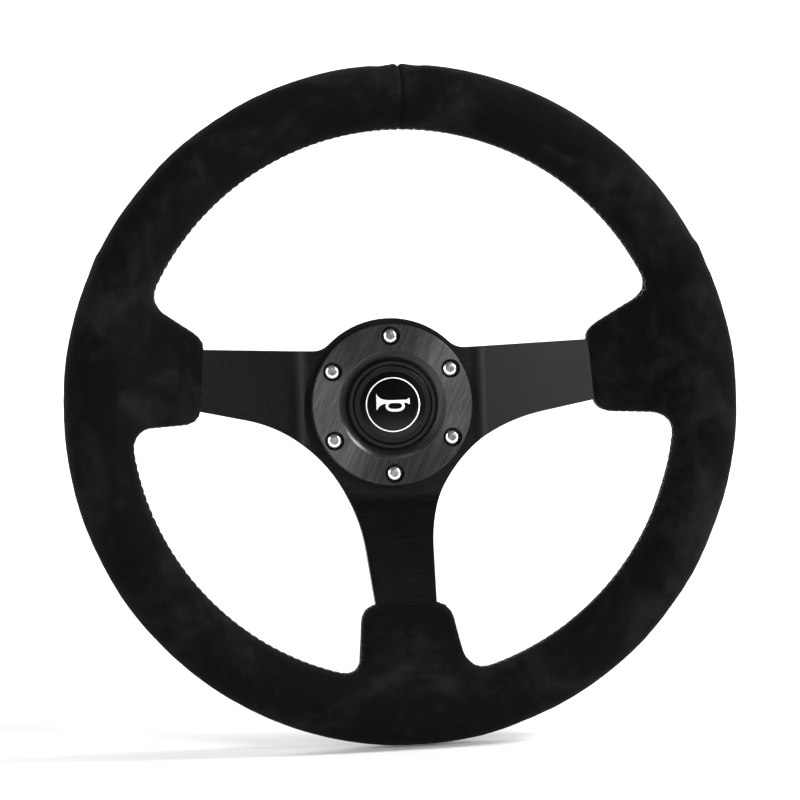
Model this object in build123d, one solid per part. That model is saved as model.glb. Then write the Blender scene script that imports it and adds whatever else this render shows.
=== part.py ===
from build123d import *
from math import atan, cos, degrees, hypot, radians, sin, tan
import os

# Quick release steering wheel: a dished three-spoke wheel on a ball-lock quick release.
# Millimetres. The origin is the centre of the column mounting face, +Y runs down the
# steering column, -Y faces the driver and +Z is the wheel's 12 o'clock.

# ---------------------------------------------------------------- driving dimensions
# Wheel
rim_diameter = 350.0        # outside, over the cover
grip_diameter = 33.0        # over the cover
dish = 76.0                 # front of the rim to the back of the hub plate
plate_thickness = 4.5
hub_plate_margin = 9.8      # hub plate outside the screw circle
spoke_fold_radius = 18.0    # centreline radius of the spokes' folds
spoke_fold_margin = 12.0    # hub fold outside the screw circle
lug_flat = 12.3             # from the rim's circle in to the outer fold
spoke_edge = 0.35           # chamfer along the spokes' edges
cover_thickness = 1.2

# Spokes, seen from the front
arm_top_height = 28.9       # top edge of the side spokes, on the wheel's centreline
arm_top_slope = 0.028       # rise of that edge for each mm outwards
arm_bottom_height = -23.3   # bottom edge of the side spokes, carried to the centreline
arm_bottom_slope = 0.218
arm_hub_fillet = 12.0
leg_half_width = 23.6       # lower spoke, carried up to the axis
leg_taper = 0.0703          # half width lost for each mm down
web_fillet = 78.0           # between the side spokes and the lower spoke

# Shoes: padded ends of the grip that run onto the spokes
shoe_reach = 39.5           # from the rim's inner edge towards the hub
shoe_half_thickness = 7.2   # at the end, either side of the spoke's middle
shoe_root_half = 12.5       # at the rim's inner edge
shoe_overhang = 4.5         # past the spoke's edges, at the end
shoe_shoulder_slope = 0.66  # upper edge of a side shoe, rising towards the rim
shoe_depth = 3.0            # the shoes end this far inside the grip's centreline
shoe_back_rise = 1.5        # the shoes' backs stand this much prouder at the rim
leg_shoe_reach = 37.0
leg_shoe_overhang = 3.6
leg_shoe_corner = 5.0       # slanted corners of the lower shoe's end
leg_shoe_flare = 3.0

# Core of the grip
core_width = 14.0
core_thickness = 5.0
lug_end_inset = 4.0         # the spokes' ends stop this far inside the core's outer edge
rivet_radius = 2.5
rivet_head_radius = 4.2
rivet_head_height = 1.2
rivet_spread = 13.0         # between the two rivets of a side spoke

# Horn ring and its screws
pitch_circle = 74.0
screw_count = 6
screw_radius = 2.5          # M5
screw_clearance = 0.15
screw_length = 16.0
screw_head_radius = 4.75
screw_head_height = 2.75
screw_socket = 3.0          # hexagon, across flats
screw_socket_depth = 1.6
counterbore_radius = 5.15
counterbore_depth = 3.6
ring_margin = 6.4           # horn ring outside the screw circle
ring_thickness = 6.5
ring_edge = 0.5
ring_bevel_width = 5.05
ring_bevel_depth = 4.0
ring_bevel_sag = 0.7        # the bevel's hollow, along the diagonal
ring_fit = 0.15             # radial, horn push in ring

# Horn push
push_radius = 24.0
push_flange_width = 1.2
push_flange_thickness = 1.5
push_bezel_width = 2.7
push_wall = 1.4
push_fit = 0.3              # round the housing's flange
push_bezel_thickness = 2.5
push_edge = 0.8
push_mouth_edge = 0.4
push_set_back = 1.0         # bezel front behind the ring's front
cap_clearance = 0.3
cap_flange_thickness = 1.5
cap_proud = 0.7             # cap front ahead of the bezel
cap_thickness = 3.6
cap_edge = 0.6
cap_rim_width = 3.2         # cap outside the emblem
emblem_fit = 0.05
emblem_recess = 0.8
emblem_edge = 0.1           # of the emblem's side that stands out of the cap
emblem_height = 0.9         # of the dome above that
horn_travel = 2.4
push_base_thickness = 2.5
contact_thickness = 0.6
contact_gap = 0.1           # left between the contacts' faces at full travel
earth_width = 6.0           # earth ring, in from the cap's edge
contact_insulation = 3.0    # between earth ring and live disc
contact_overlap = 3.0       # contact plate over the live disc
earth_post_radius = 1.2
earth_post_inset = 2.0
live_stem = 2.0
live_foot = 7.0
live_foot_thickness = 1.0
base_fit = 0.05
horn_spring_inset = 5.0     # coil inside the live disc's edge
horn_spring_wire = 0.9
horn_spring_turns = 3.0

# Quick release
stack_length = 50.0         # back of the hub plate to the column mounting face
flange_thickness = 11.0
flange_margin = 6.0         # hub flange outside the screw circle
thread_fit = 0.05
push_recess_depth = 7.5
push_end_gap = 2.0          # housing's end to the recess floor
pin_window_radius = 12.0
spigot_radius = 19.0
spigot_lead = 1.0           # chamfers on the spigot
spigot_end_gap = 0.5
spigot_fit = 0.05           # radial, spigot in hub
barrel_cover = 2.55         # hub barrel outside the ball centres
collar_fit = 0.06           # radial, collar on barrel
ball_sink = 1.65            # depth of the spigot's ball groove
ball_radius = 3.0
ball_count = 8
ball_fit = 0.05
ball_lift = 1.8             # radial, to let the spigot go
collar_travel = 6.0
ball_seat = 17.5            # ball centres ahead of the column mounting face
collar_end = 10.0           # collar's column end ahead of the same face
collar_stop_gap = 0.5       # left to the flange at full travel
collar_wall = 4.2           # at the ramp's wide end
collar_grip_height = 6.0
collar_grip_length = 5.5
collar_pocket_width = 5.64
collar_edge = 1.0
collar_scallops = 24
scallop_radius = 3.4
scallop_offset = 2.0        # scallop centres outside the collar's grip
collar_spring_wire = 1.4
collar_spring_turns = 3.0
ring_clip_thickness = 1.4
ring_clip_overlap = 1.5     # stands out past the collar's bore
ring_clip_groove = 1.0
ring_clip_play = 0.3
ring_clip_gap = 8.0
base_thickness = 6.0
base_margin = 5.0           # base flange outside the screw circle
base_hole_radius = 2.9      # coarse clearance for M5
base_counterbore_radius = 5.0
base_counterbore_depth = 3.0
spline_count = 10
spline_drop = 0.3           # spline tips under the spigot's surface
spline_height = 2.2
spline_width = 4.0
spline_key = 1.5            # the key spline's width, as a multiple
spline_fit = 0.05
spline_length = 14.5

# Horn pin in the spigot
spigot_bore = 10.5
plug_length = 20.0
pin_radius = 2.0
pin_clearance = 0.1
pin_flange_radius = 3.4
pin_flange_thickness = 1.2
pin_nose = 0.6
pin_gap = 0.05
pin_guide = 3.5             # length of the plug's front bearing
pin_cavity = 10.0
pin_spring_inset = 0.8
pin_spring_wire = 0.5
pin_spring_turns = 7.0
terminal_head_radius = 5.5
terminal_head_thickness = 1.0
terminal_tab = (4.8, 6.5, 0.8)

# ---------------------------------------------------------------- planes and radii that follow
grip_radius = grip_diameter / 2
rim_radius = rim_diameter / 2 - grip_radius
rim_inner = rim_radius - grip_radius
plate_back = -stack_length
plate_front = plate_back - plate_thickness
ring_front = plate_front - ring_thickness
rim_plane = plate_back - dish + grip_radius
plate_middle = (plate_back + plate_front) / 2
lug_middle = rim_plane + plate_thickness / 2
screw_circle = pitch_circle / 2
hub_plate_radius = screw_circle + hub_plate_margin
spoke_fold_at = screw_circle + spoke_fold_margin
lug_fold_at = rim_radius - lug_flat
slope = (plate_middle - lug_middle) / (lug_fold_at - spoke_fold_at)
core_outer = rim_radius + core_width / 2
core_inner = rim_radius - core_width / 2
spoke_end = core_outer - lug_end_inset
half_plate = plate_thickness / 2

ring_radius = screw_circle + ring_margin
ring_hole_radius = push_radius + ring_fit
ring_bevel_radius = ring_hole_radius + ring_bevel_width

flange_radius = screw_circle + flange_margin
flange_back = plate_back + flange_thickness
spigot_tip = flange_back + spigot_end_gap
recess_floor = plate_back + push_recess_depth
base_radius = screw_circle + base_margin
ball_circle = spigot_radius - ball_sink + ball_radius
hub_barrel_radius = ball_circle + barrel_cover
ramp = ball_lift / collar_travel
ramp_touch = ball_circle + (ball_radius + ball_fit) / cos(atan(ramp))
ramp_wide = ramp_touch + (ball_seat - collar_end) * ramp
collar_land = hub_barrel_radius + collar_fit
collar_front = flange_back + collar_travel + collar_stop_gap
collar_radius = ramp_wide + collar_wall
collar_grip_radius = collar_radius + collar_grip_height
collar_pocket_radius = collar_land + collar_pocket_width
spring_seat = collar_front + collar_grip_length
clip_front = -collar_end + ring_clip_play
clip_inner = hub_barrel_radius - ring_clip_groove
spline_tip_radius = spigot_radius - spline_drop
spline_root_radius = spline_tip_radius - spline_height
spline_end = spigot_tip + spline_length

push_front = ring_front + push_set_back
push_back = recess_floor - push_end_gap
push_mouth_radius = push_radius - push_bezel_width
push_cavity_radius = push_radius - push_wall
push_flange_radius = push_radius + push_flange_width
cap_radius = push_mouth_radius - cap_clearance
cap_front = push_front - cap_proud
cap_under = cap_front + cap_thickness
emblem_radius = cap_radius - cap_rim_width
base_front = push_back - push_base_thickness
contact_front = base_front - contact_thickness
plate_at = contact_front - contact_gap - horn_travel
earth_inner = cap_radius - earth_width
earth_circle = cap_radius - earth_post_inset
live_head = earth_inner - contact_insulation
horn_spring_radius = live_head - horn_spring_inset

plug_back = spigot_tip + plug_length
pin_tip = push_back + live_foot_thickness + pin_gap
pin_flange_at = spigot_tip + pin_guide + pin_gap
pin_spring_front = pin_flange_at + pin_flange_thickness


# ---------------------------------------------------------------- helpers
def turned(*profile):
    """A solid turned about the wheel's axis from (radius, depth) corners."""
    return revolve(make_face(Polyline(*profile, close=True)), Axis.Y)


def disc(radius, front, back, inner=0.0):
    """A round plate or tube between two depths."""
    return turned((inner, front), (radius, front), (radius, back), (inner, back))


def outline(*corners):
    """A face from (x, z, corner radius) points."""
    return make_face(FilletPolyline(*[(x, z) for x, z, _ in corners],
                                    radius=[r for _, _, r in corners], close=True))


def through(face, front, back):
    """Extrude a front-view face from one depth to another."""
    return Pos(0, back, 0) * (Plane.XZ * extrude(face, back - front))


def at_angle(radius, degrees_from_x):
    """Place on a circle about the wheel's axis."""
    angle = radians(degrees_from_x)
    return Pos(radius * cos(angle), 0, radius * sin(angle))


def spread(part, count, start=90.0):
    """Copies of a part turned evenly about the wheel's axis, the first one at `start`."""
    return [Rot(0, -(start + 360.0 * i / count), 0) * part for i in range(count)]


def joined(parts):
    """One solid from several that touch."""
    whole = parts[0]
    for part in parts[1:]:
        whole += part
    return whole


def coil(wire, radius, front, back, turns):
    """Compression spring between two depths."""
    height = back - front - wire
    helix = Helix(height / turns, height, radius)
    start = Plane(helix @ 0, z_dir=helix % 0)
    spring = sweep(start * Circle(wire / 2), helix, is_frenet=True)
    return Pos(0, front + wire / 2, 0) * (Rot(-90, 0, 0) * spring)


# ---------------------------------------------------------------- wheel
def arm_top(x):
    return arm_top_height + arm_top_slope * x


def arm_bottom(x):
    return arm_bottom_height + arm_bottom_slope * x


def leg_half(down):
    return leg_half_width - leg_taper * down


def spoke_outline():
    """Front view of the whole spoke frame."""
    reach = rim_radius + grip_radius
    web_x = (leg_half_width + leg_taper * arm_bottom_height) / (1 - leg_taper * arm_bottom_slope)
    web_z = arm_bottom(web_x)
    right = [(reach, arm_top(reach), 0), (reach, arm_bottom(reach), 0), (web_x, web_z, web_fillet),
             (leg_half(reach), -reach, 0)]
    left = [(-x, z, r) for x, z, r in reversed(right)]
    plate = outline((0, arm_top_height, 0), *right, *left)
    plate += Circle(hub_plate_radius)
    corners = [v for v in plate.vertices() if abs(hypot(v.X, v.Y) - hub_plate_radius) < 0.01]
    return fillet(corners, arm_hub_fillet) & Circle(spoke_end)


def folded_sheet():
    """Side view of a folded spoke, in (distance from the axis, depth)."""
    shift = half_plate * tan(atan(slope) / 2)
    inner, outer = spoke_fold_radius - half_plate, spoke_fold_radius + half_plate
    reach = rim_radius + grip_radius
    corners = [
        (-1, plate_front, 0), (spoke_fold_at - shift, plate_front, inner),
        (lug_fold_at - shift, rim_plane, outer), (reach, rim_plane, 0),
        (reach, rim_plane + plate_thickness, 0), (lug_fold_at + shift, rim_plane + plate_thickness, inner),
        (spoke_fold_at + shift, plate_back, outer), (-1, plate_back, 0),
    ]
    return outline(*corners)


def spoke_sheets():
    """Three folded strips, wider than the spokes; the side ones end where the hub plate is still flat."""
    side = Plane.XY * folded_sheet()
    width = hub_plate_radius + spoke_fold_radius
    flat_end = spoke_fold_at - spoke_fold_radius / 2
    right = Pos(0, 0, -flat_end) * extrude(side, width + flat_end)
    left = mirror(right, Plane.YZ)
    leg = Rot(0, 90, 0) * (Pos(0, 0, -width) * extrude(side, 2 * width))
    size = 4 * rim_radius
    leg &= Pos(0, 0, -flat_end) * Box(size, size, size, align=(Align.CENTER, Align.CENTER, Align.MAX))
    return right + left + leg


def edged(frame):
    """Chamfer the long edges of the spokes."""
    walls = [f for f in frame.faces() if abs(f.normal_at().Y) < 0.01 and f.area > plate_thickness ** 2]
    edges = [e for f in walls for e in f.edges() if abs((e % 0.5).Y) < 0.99]
    return chamfer(edges, spoke_edge)


def make_spoke_frame():
    frame = spoke_sheets() & through(spoke_outline(), rim_plane - grip_radius, plate_back + 1)
    frame = edged(frame)
    frame -= disc(push_radius + ring_fit, plate_front - 1, plate_back + 1)
    hole = Pos(screw_circle, 0, 0) * disc(screw_radius + screw_clearance, plate_front - 1, plate_back + 1)
    for each in spread(hole, screw_count):
        frame -= each
    for each in rivet_places():
        frame -= each * disc(rivet_radius, rim_plane - core_thickness, rim_plane + 2 * plate_thickness)
    return frame


def rivet_places():
    """Two rivets through each spoke's end and the core."""
    arm_middle = (arm_top(rim_radius) + arm_bottom(rim_radius)) / 2
    tilt = degrees(arm_middle / rim_radius)
    step = degrees(rivet_spread / 2 / rim_radius)
    angles = [tilt, 180 - tilt, 270]
    return [at_angle(rim_radius, angle + turn) for angle in angles for turn in (-step, step)]


def make_rim_core():
    core = disc(core_outer, rim_plane - core_thickness, rim_plane, core_inner)
    for each in rivet_places():
        core -= each * disc(rivet_radius, rim_plane - core_thickness - 1, rim_plane + 1)
    return core


def make_core_rivets():
    """Two-headed rivets, one solid each."""
    front, back = rim_plane - core_thickness, rim_plane + plate_thickness
    rivet = turned((0, front - rivet_head_height), (rivet_head_radius, front - rivet_head_height),
                   (rivet_head_radius, front), (rivet_radius, front), (rivet_radius, back),
                   (rivet_head_radius, back), (rivet_head_radius, back + rivet_head_height),
                   (0, back + rivet_head_height))
    return Compound(children=[place * rivet for place in rivet_places()])


# ---------------------------------------------------------------- grip
def shoe_wedge(end, inset):
    """Side view of a shoe about its folded spoke, in (distance from the axis, depth)."""
    spoke_depth = plate_middle - (end - spoke_fold_at) * slope
    tip, root = shoe_half_thickness - inset, shoe_root_half - inset
    front, back = rim_plane - root, rim_plane + root
    return make_face(Polyline((end, spoke_depth - tip), (rim_inner, front), (rim_radius, front), (rim_radius, back),
                              (rim_inner, back + shoe_back_rise), (end, spoke_depth + tip), close=True))


def arm_shoe(inset):
    """Padded shoe over the end of the right-hand spoke."""
    end = rim_inner - shoe_reach + inset
    over = shoe_overhang - inset
    top, bottom = arm_top(end) + over, arm_bottom(end) - over
    rise = (rim_radius - end) * shoe_shoulder_slope
    corners = [(end, top, 2), (rim_radius, top + rise, 0), (rim_radius, bottom - 1, 0),
               (end + 5, bottom, 2.5), (end + 2.5, bottom + 4, 2)]
    face = outline(*corners) & Circle(rim_radius - shoe_depth)
    wedge = Pos(0, 0, -rim_radius) * extrude(Plane.XY * shoe_wedge(end, inset), 2 * rim_radius)
    return through(face, rim_plane - dish, plate_back) & wedge


def leg_shoe(inset):
    """Padded shoe over the end of the lower spoke."""
    end = rim_inner - leg_shoe_reach + inset
    half = leg_half(end) + leg_shoe_overhang - inset
    corner, foot = half + leg_shoe_corner - 1, half + leg_shoe_corner + leg_shoe_flare
    corners = [(-half, -end, 2), (half, -end, 2), (corner, -end - leg_shoe_corner, 3), (foot, -rim_radius, 0),
               (-foot, -rim_radius, 0), (-corner, -end - leg_shoe_corner, 3)]
    face = outline(*corners) & Circle(rim_radius - shoe_depth)
    wedge = Pos(0, 0, -rim_radius) * extrude(Plane.XY * shoe_wedge(end, inset), 2 * rim_radius)
    return through(face, rim_plane - dish, plate_back) & (Rot(0, 90, 0) * wedge)


def grip_form(inset):
    """The grip and its three shoes, set in from the cover's outside."""
    hoop = revolve(Pos(rim_radius, rim_plane) * Circle(grip_radius - inset), Axis.Y)
    right = arm_shoe(inset)
    return hoop + [right, mirror(right, Plane.YZ), leg_shoe(inset)]


def make_rim_padding(spokes, core, rivets):
    padding = grip_form(cover_thickness) - spokes - core
    for rivet in rivets.solids():
        padding -= rivet
    return padding


def make_rim_cover(spokes):
    return grip_form(0) - grip_form(cover_thickness) - spokes


# ---------------------------------------------------------------- horn ring and screws
def make_horn_ring():
    """Ring with a concave bevel down to the horn push."""
    deep = ring_front + ring_bevel_depth
    start, end = (ring_bevel_radius, ring_front), (ring_hole_radius, deep)
    sag = ring_bevel_sag * sin(radians(45))
    middle = ((start[0] + end[0]) / 2 - sag, (start[1] + end[1]) / 2 + sag)
    profile = Polyline(end, (ring_hole_radius, plate_front), (ring_radius, plate_front),
                       (ring_radius, ring_front + ring_edge), (ring_radius - ring_edge, ring_front), start)
    bevel = ThreePointArc(start, middle, end)
    ring = revolve(make_face(profile.edges() + bevel.edges()), Axis.Y)
    hole = disc(screw_radius + screw_clearance, ring_front - 1, plate_front + 1)
    hole += disc(counterbore_radius, ring_front - 1, ring_front + counterbore_depth)
    for each in spread(Pos(screw_circle, 0, 0) * hole, screw_count):
        ring -= each
    return ring


def make_ring_screws():
    """Button-head screws, one solid each."""
    under = ring_front + counterbore_depth
    top = under - screw_head_height
    flat = screw_head_radius * 0.42
    profile = Polyline((0, top), (flat, top))
    dome = ThreePointArc((flat, top), (screw_head_radius * 0.82, top + 0.75), (screw_head_radius, under - 0.35))
    rest = Polyline((screw_head_radius, under - 0.35), (screw_head_radius, under), (screw_radius, under),
                    (screw_radius, under + screw_length), (0, under + screw_length), (0, top))
    screw = revolve(make_face(profile.edges() + dome.edges() + rest.edges()), Axis.Y)
    socket = RegularPolygon(screw_socket / 2, 6, major_radius=False)
    screw -= through(socket, top - 1, top + screw_socket_depth)
    return Compound(children=spread(Pos(screw_circle, 0, 0) * screw, screw_count))


# ---------------------------------------------------------------- horn push
def make_horn_housing():
    """Cup with a bezel, held by its flange between hub plate and quick release."""
    bezel_back = push_front + push_bezel_thickness
    mouth = push_mouth_radius + push_mouth_edge
    return turned((push_mouth_radius, push_front + push_mouth_edge), (mouth, push_front),
                  (push_radius - push_edge, push_front), (push_radius, push_front + push_edge),
                  (push_radius, plate_back), (push_flange_radius, plate_back),
                  (push_flange_radius, plate_back + push_flange_thickness),
                  (push_radius, plate_back + push_flange_thickness), (push_radius, push_back),
                  (push_cavity_radius, push_back), (push_cavity_radius, bezel_back),
                  (push_mouth_radius, bezel_back))


def make_horn_cap():
    """Button with a retaining flange, and a skirt down to the contact plate."""
    flange_front = push_front + push_bezel_thickness + cap_clearance
    flange_rear = flange_front + cap_flange_thickness
    flange = push_cavity_radius - cap_clearance
    skirt_end = plate_at - contact_thickness
    recess, floor = emblem_radius + emblem_fit, cap_front + emblem_recess
    return turned((0, floor), (recess, floor), (recess, cap_front), (cap_radius - cap_edge, cap_front),
                  (cap_radius, cap_front + cap_edge), (cap_radius, flange_front), (flange, flange_front),
                  (flange, flange_rear), (cap_radius, flange_rear), (cap_radius, skirt_end),
                  (emblem_radius, skirt_end), (emblem_radius, cap_under), (0, cap_under))


def make_emblem_dome():
    """Flat-backed lens with a spherical front."""
    dome_front = cap_front - emblem_edge - emblem_height
    sphere = (emblem_radius ** 2 + emblem_height ** 2) / (2 * emblem_height)
    ball = Pos(0, dome_front + sphere, 0) * Sphere(sphere)
    return disc(emblem_radius, dome_front - 1, cap_front + emblem_recess) & ball


def make_horn_contact_plate():
    """Spring steel ring under the cap that bridges the live disc and the earth ring."""
    return disc(cap_radius, plate_at - contact_thickness, plate_at, live_head - contact_overlap)


def make_horn_spring():
    return coil(horn_spring_wire, horn_spring_radius, cap_under, contact_front, horn_spring_turns)


def make_horn_base():
    base = disc(push_cavity_radius - base_fit, base_front, push_back)
    base -= disc(live_stem, base_front - 1, push_back + 1)
    return base - earth_post(base_front - 1, push_back + 1)


def earth_post(front, back):
    return Pos(0, 0, earth_circle) * disc(earth_post_radius, front, back)


def make_live_contact():
    """Disc and rivet through the base: the spring stands on the disc, and the foot meets the pin."""
    foot = push_back + live_foot_thickness
    return turned((0, contact_front), (live_head, contact_front), (live_head, base_front),
                  (live_stem, base_front), (live_stem, push_back), (live_foot, push_back), (live_foot, foot),
                  (0, foot))


def make_earth_contact():
    """Ring on the base with a post through it to the hub's recess."""
    return disc(cap_radius, contact_front, base_front, earth_inner) + earth_post(contact_front, recess_floor)


# ---------------------------------------------------------------- quick release, wheel side
def make_release_hub():
    """Flange, ball-lock barrel and splined bore in one turned piece."""
    bore = spigot_radius + spigot_fit
    root = spline_root_radius + spline_fit
    clip_back = clip_front + ring_clip_thickness
    recess = push_radius + push_fit
    step, step_radius = plate_back + push_flange_thickness, push_flange_radius + push_fit
    hub = turned((step_radius, plate_back), (flange_radius, plate_back), (flange_radius, flange_back - 1),
                 (flange_radius - 1, flange_back), (hub_barrel_radius, flange_back),
                 (hub_barrel_radius, clip_front), (clip_inner, clip_front), (clip_inner, clip_back),
                 (hub_barrel_radius, clip_back), (hub_barrel_radius, -base_thickness), (bore, -base_thickness),
                 (bore, spline_end), (root, spline_end), (root, flange_back), (pin_window_radius, flange_back),
                 (pin_window_radius, recess_floor), (recess, recess_floor), (recess, step), (step_radius, step))
    hub -= splines(spline_fit, flange_back, spline_end)
    screw = Pos(screw_circle, 0, 0) * disc(screw_radius + thread_fit, plate_back - 1, flange_back + 1)
    for each in spread(screw, screw_count):
        hub -= each
    pocket = Pos(ball_circle, -ball_seat, 0) * Sphere(ball_radius + ball_fit)
    pocket += Pos(ball_circle, -ball_seat, 0) * (Rot(0, 90, 0) * Cylinder(
        ball_radius + ball_fit, 2 * ball_radius, align=(Align.CENTER, Align.CENTER, Align.MIN)))
    for each in spread(pocket, ball_count):
        hub -= each
    return hub


def splines(fit, front, back):
    """Straight splines, the top one wider so that the wheel goes on one way only."""
    teeth = []
    for i in range(spline_count):
        width = spline_width * (spline_key if i == 0 else 1) + 2 * fit
        height = spline_tip_radius + fit - (spline_root_radius - 1)
        tooth = Box(height, back - front, width, align=(Align.MIN, Align.MIN, Align.CENTER))
        tooth = Pos(spline_root_radius - 1, front, 0) * tooth
        teeth.append(Rot(0, -(90 + 360.0 * i / spline_count), 0) * tooth)
    return joined(teeth) & disc(spline_tip_radius + fit, front, back, spline_root_radius - 1)


def make_lock_collar():
    """Sliding sleeve: spring pocket in front, bearing land, then the ramp over the balls."""
    back, edge = -collar_end, collar_edge
    ramp_start = -ball_seat - (ramp_touch - collar_land) / ramp
    collar = turned((collar_pocket_radius, collar_front), (collar_grip_radius - edge, collar_front),
                    (collar_grip_radius, collar_front + edge), (collar_grip_radius, spring_seat - edge),
                    (collar_grip_radius - edge, spring_seat), (collar_radius, spring_seat),
                    (collar_radius, back - edge), (collar_radius - edge, back), (ramp_wide, back),
                    (collar_land, ramp_start), (collar_land, spring_seat), (collar_pocket_radius, spring_seat))
    scallop_at = collar_grip_radius + scallop_offset
    scallop = Pos(scallop_at, 0, 0) * disc(scallop_radius, collar_front - 1, spring_seat + 1)
    for each in spread(scallop, collar_scallops):
        collar -= each
    return collar


def make_collar_spring():
    mean = (hub_barrel_radius + collar_pocket_radius) / 2
    return coil(collar_spring_wire, mean, flange_back, spring_seat, collar_spring_turns)


def make_retaining_ring():
    """Split ring in the barrel's groove that keeps the collar on."""
    outer = ramp_wide + ring_clip_overlap
    clip = disc(outer, clip_front, clip_front + ring_clip_thickness, clip_inner)
    gap = Box(ring_clip_gap, 4 * ring_clip_thickness, outer, align=(Align.CENTER, Align.CENTER, Align.MAX))
    return clip - Pos(0, clip_front, 0) * gap


def make_lock_balls():
    """The balls in their holes, pressed into the spigot's groove."""
    ball = Pos(ball_circle, -ball_seat, 0) * (Rot(0, 90, 0) * Sphere(ball_radius))
    return spread(ball, ball_count)


# ---------------------------------------------------------------- quick release, column side
def make_release_base():
    """Flange and spigot, with the ball groove and splines."""
    lead = spigot_lead
    base = turned((spigot_bore, 0), (base_radius, 0), (base_radius, -base_thickness + 1),
                  (base_radius - 1, -base_thickness), (spigot_radius, -base_thickness),
                  (spigot_radius, spline_end + lead), (spigot_radius - lead, spline_end),
                  (spline_root_radius, spline_end), (spline_root_radius, spigot_tip + lead),
                  (spline_root_radius - lead, spigot_tip), (spigot_bore, spigot_tip))
    base += splines(0, spigot_tip + lead, spline_end + lead)
    base -= Pos(0, -ball_seat, 0) * (Rot(90, 0, 0) * Torus(ball_circle, ball_radius + ball_fit))
    hole = disc(base_hole_radius, -base_thickness - 1, 1)
    hole += disc(base_counterbore_radius, -base_thickness - 1, -base_thickness + base_counterbore_depth)
    for each in spread(Pos(screw_circle, 0, 0) * hole, screw_count):
        base -= each
    return base


def make_pin_insulator():
    """Plug in the spigot's bore that guides the horn pin."""
    cavity = pin_flange_radius + pin_clearance
    guide = pin_radius + pin_clearance
    cavity_front = spigot_tip + pin_guide
    return turned((guide, spigot_tip), (spigot_bore, spigot_tip), (spigot_bore, plug_back), (cavity, plug_back),
                  (cavity, cavity_front), (guide, cavity_front))


def make_contact_pin():
    """Round-nosed pin with a shoulder for its spring."""
    flat, bulge = pin_radius - pin_nose, pin_nose * (1 - sin(radians(45)))
    body = Polyline((0, pin_tip), (flat, pin_tip))
    side = pin_tip + pin_nose
    corner = ThreePointArc((flat, pin_tip), (pin_radius - bulge, pin_tip + bulge), (pin_radius, side))
    rest = Polyline((pin_radius, side), (pin_radius, pin_flange_at), (pin_flange_radius, pin_flange_at),
                    (pin_flange_radius, pin_spring_front), (0, pin_spring_front), (0, pin_tip))
    return revolve(make_face(body.edges() + corner.edges() + rest.edges()), Axis.Y)


def make_pin_spring():
    mean = pin_flange_radius - pin_spring_inset
    return coil(pin_spring_wire, mean, pin_spring_front, pin_spring_front + pin_cavity, pin_spring_turns)


def make_pin_terminal():
    """Brass plug that closes the pin's bore, with a tab for the horn lead."""
    head_back = plug_back + terminal_head_thickness
    body = disc(pin_flange_radius + pin_clearance, pin_spring_front + pin_cavity, plug_back)
    body += disc(terminal_head_radius, plug_back, head_back)
    return body + Pos(0, head_back, 0) * Box(*terminal_tab, align=(Align.CENTER, Align.MIN, Align.CENTER))


# ---------------------------------------------------------------- build
def build():
    spokes, core, rivets = make_spoke_frame(), make_rim_core(), make_core_rivets()
    nodes = {
        "spoke_frame": spokes, "rim_core": core, "core_rivets": rivets,
        "rim_padding": make_rim_padding(spokes, core, rivets), "rim_cover": make_rim_cover(spokes),
        "horn_ring": make_horn_ring(), "ring_screws": make_ring_screws(),
        "horn_housing": make_horn_housing(), "horn_cap": make_horn_cap(), "emblem_dome": make_emblem_dome(),
        "horn_contact_plate": make_horn_contact_plate(), "horn_spring": make_horn_spring(),
        "horn_base": make_horn_base(), "live_contact": make_live_contact(),
        "earth_contact": make_earth_contact(),
        "release_hub": make_release_hub(), "lock_collar": make_lock_collar(),
        "collar_spring": make_collar_spring(), "retaining_ring": make_retaining_ring(),
        "release_base": make_release_base(), "pin_insulator": make_pin_insulator(),
        "contact_pin": make_contact_pin(), "pin_spring": make_pin_spring(), "pin_terminal": make_pin_terminal(),
    }
    for i, ball in enumerate(make_lock_balls(), start=1):
        nodes[f"lock_ball_{i}"] = ball
    return nodes


os.makedirs("parts", exist_ok=True)
for name, part in build().items():
    export_step(part, f"parts/{name}.step")
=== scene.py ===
from math import cos, pi, radians, sin, sqrt, tan

import bpy
import numpy as np
from bpy.props import FloatProperty, FloatVectorProperty, PointerProperty
from mathutils import Matrix, Vector


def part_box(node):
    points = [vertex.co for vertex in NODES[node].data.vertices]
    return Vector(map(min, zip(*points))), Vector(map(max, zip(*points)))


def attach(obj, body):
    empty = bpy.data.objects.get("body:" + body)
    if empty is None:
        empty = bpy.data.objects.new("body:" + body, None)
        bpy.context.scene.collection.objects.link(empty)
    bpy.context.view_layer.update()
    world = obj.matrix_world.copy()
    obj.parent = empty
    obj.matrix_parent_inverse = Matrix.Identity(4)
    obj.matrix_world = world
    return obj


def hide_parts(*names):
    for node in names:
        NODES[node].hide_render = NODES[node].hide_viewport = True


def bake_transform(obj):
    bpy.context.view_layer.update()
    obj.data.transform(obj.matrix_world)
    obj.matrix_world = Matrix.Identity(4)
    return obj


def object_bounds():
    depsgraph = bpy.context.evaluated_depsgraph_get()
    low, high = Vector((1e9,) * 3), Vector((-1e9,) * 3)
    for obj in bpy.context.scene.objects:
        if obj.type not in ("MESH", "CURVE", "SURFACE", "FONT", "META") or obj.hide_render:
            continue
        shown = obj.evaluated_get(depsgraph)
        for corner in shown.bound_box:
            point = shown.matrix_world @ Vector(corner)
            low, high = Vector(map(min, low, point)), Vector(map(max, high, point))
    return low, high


bl_info = {
    "name": "Quick Release Steering Wheel",
    "version": (1, 0, 0),
    "blender": (4, 5, 0),
    "location": "View3D > Sidebar > Steering Wheel",
    "description": "Dresses the steering wheel's frame with its grip, stitching, metal finishes and stage",
    "category": "Add Mesh",
}

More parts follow.
